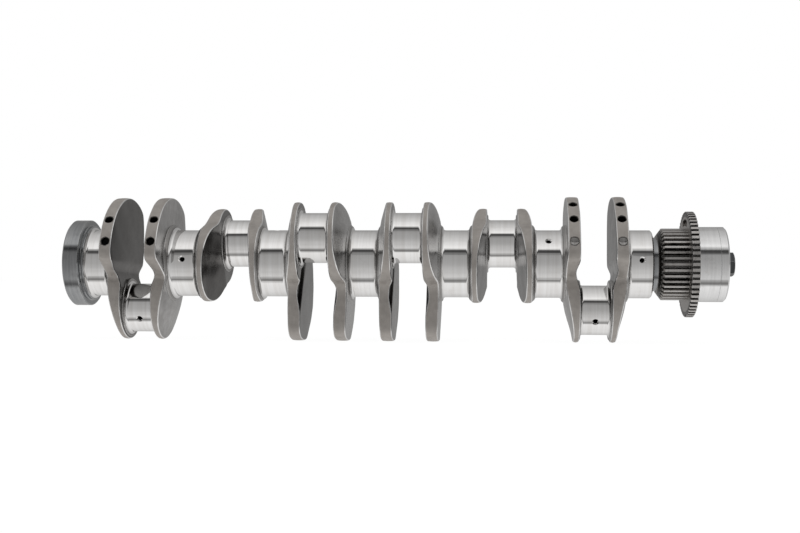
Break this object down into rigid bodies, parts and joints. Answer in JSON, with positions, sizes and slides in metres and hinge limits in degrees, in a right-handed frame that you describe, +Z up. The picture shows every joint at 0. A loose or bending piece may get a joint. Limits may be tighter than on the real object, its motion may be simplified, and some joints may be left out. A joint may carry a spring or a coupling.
{
  "type": "crankshaft",
  "caption": "Forged crankshaft for a heavy-duty inline engine, with a flywheel flange at one end and a timing gear, toothed pulse wheel, hub and bolt on its nose.",
  "frame": {"origin": "centre of the flywheel bolt circle, on the outer face of the flywheel flange", "axes": "+X along the crank axis towards the nose, +Z up as the crankshaft lies, with crankpins 1 and 6 pointing down"},
  "size_m": [1.125, 0.2454, 0.2441],
  "materials": {
    "ground_steel": "mirror-ground bearing surface",
    "forged_steel": "shot-blasted forging with machined, polished chamfers",
    "machined_flange": "dark, oiled, turned steel",
    "gear_steel": "hardened steel, dull olive grey",
    "turned_steel": "bright, fine-turned and ground",
    "dark_bolt": "black-oxide bolt"
  },
  "bodies": {
    "root": {"flywheel_flange": "machined_flange", "main_journal_1": "ground_steel", "main_journal_2": "ground_steel", "main_journal_3": "ground_steel", "main_journal_4": "ground_steel", "main_journal_5": "ground_steel", "main_journal_6": "ground_steel", "main_journal_7": "ground_steel", "crankpin_1": "ground_steel", "crankpin_2": "ground_steel", "crankpin_3": "ground_steel", "crankpin_4": "ground_steel", "crankpin_5": "ground_steel", "crankpin_6": "ground_steel", "web_1": "forged_steel", "web_2": "forged_steel", "web_3": "forged_steel", "web_4": "forged_steel", "web_5": "forged_steel", "web_6": "forged_steel", "web_7": "forged_steel", "web_8": "forged_steel", "web_9": "forged_steel", "web_10": "forged_steel", "web_11": "forged_steel", "web_12": "forged_steel", "nose_shaft": "machined_flange", "nose_key": "machined_flange", "crankshaft_gear": "gear_steel", "pulse_wheel": "gear_steel", "front_hub": "turned_steel", "nose_bolt": "dark_bolt"}
  },
  "joints": []
}
